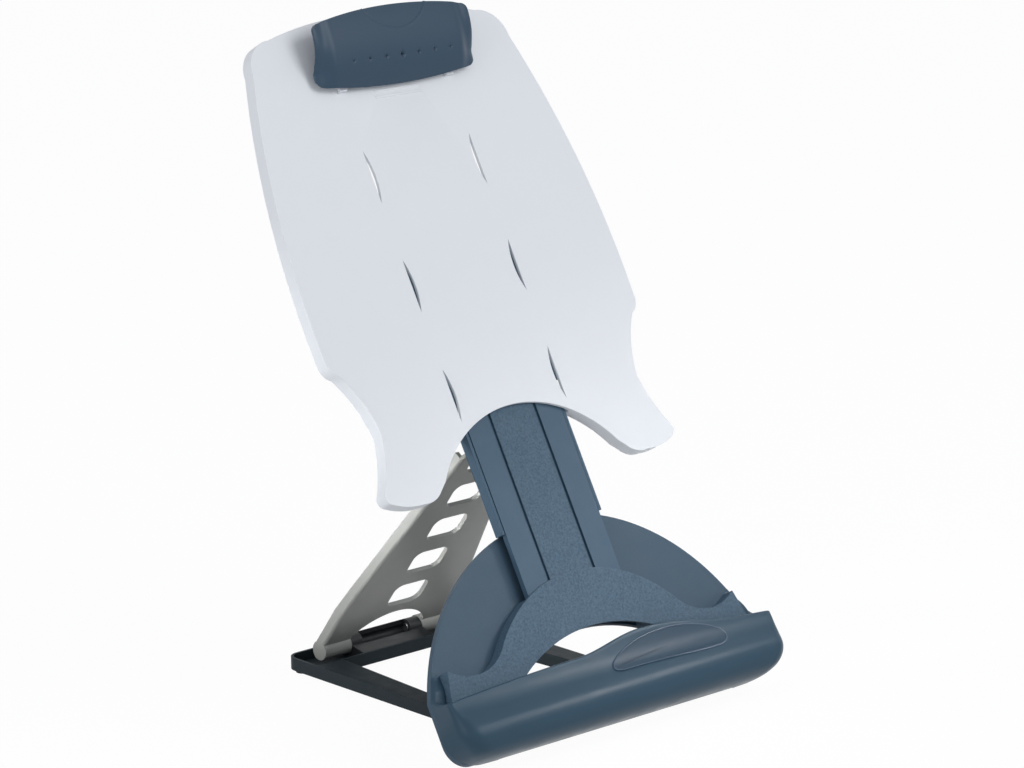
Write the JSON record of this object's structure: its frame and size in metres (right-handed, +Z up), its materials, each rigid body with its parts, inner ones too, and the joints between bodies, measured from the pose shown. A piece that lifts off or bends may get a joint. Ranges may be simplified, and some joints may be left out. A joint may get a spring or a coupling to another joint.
{
  "type": "document holder",
  "caption": "Standing document holder: base frame, hinged prop leg, mast with half disc and lipped ledge, sliding white board with spring clip.",
  "frame": {"origin": "on the desk, in the middle of the footprint, from the foremost point of the ledge to the rear of the base frame", "axes": "+X to the reader's right, +Y from the reader to the back, +Z up from the desk"},
  "size_m": [0.23, 0.2161, 0.3578],
  "materials": {
    "dark_plastic": "grained",
    "black_plastic": "satin",
    "foot_rubber": "matte",
    "steel": "satin",
    "blue_grey_plastic": "finely grained, satin",
    "pale_blue_plastic": "satin",
    "leg_paint": "satin",
    "shoe_plastic": "satin",
    "white_plastic": "satin"
  },
  "bodies": {
    "base": {"base_frame": "dark_plastic", "rubber_feet": "foot_rubber", "rear_hinge_block": "black_plastic", "leg_hinge_pins": "steel", "front_hinge_pins": "steel"},
    "mast": {"mast": "blue_grey_plastic", "mast_centre_strip": "blue_grey_plastic", "half_disc": "blue_grey_plastic", "arch_band": "blue_grey_plastic", "ledge": "blue_grey_plastic", "lip_plaque": "pale_blue_plastic", "tilt_track": "dark_plastic", "mast_screws": "steel", "track_screws": "steel", "band_screws": "steel", "ledge_screws": "steel"},
    "leg": {"prop_leg": "leg_paint", "leg_top_pin": "steel", "leg_shoes": "shoe_plastic"},
    "board": {"document_board": "white_plastic", "slide_rail_left": "blue_grey_plastic", "slide_rail_right": "blue_grey_plastic", "brake_pad_left": "foot_rubber", "brake_pad_right": "foot_rubber", "rail_screws": "steel", "clip_bracket": "white_plastic", "bracket_screws": "steel", "clip_pin": "steel", "clip_spring": "steel"},
    "clip": {"clip_plate": "blue_grey_plastic", "clip_jaw_pads": "white_plastic"}
  },
  "joints": [
    {"name": "mast_tilt", "type": "hinge", "parent": "base", "child": "mast", "pos_m": [0, -0.07329, 0.008], "axis": [-1, 0, 0], "range_deg": [-2, 10]},
    {"name": "leg_prop", "type": "hinge", "parent": "base", "child": "leg", "pos_m": [0, 0.0972, 0.01], "axis": [-1, 0, 0], "range_deg": [-4.4, 22]},
    {"name": "board_height", "type": "slide", "parent": "mast", "child": "board", "axis": [0, 0.4939, 0.8695], "range_m": [-0.08, 0]},
    {"name": "clip", "type": "hinge", "parent": "board", "child": "clip", "pos_m": [0, 0.08345, 0.33667], "axis": [-1, 0, 0], "range_deg": [0, 20], "stiffness_Nm_per_rad": 0.3, "springref_deg": -20.05}
  ],
  "couplings": [
    {"joint": "leg_prop", "follows": "mast_tilt", "ratio": 2.2}
  ]
}
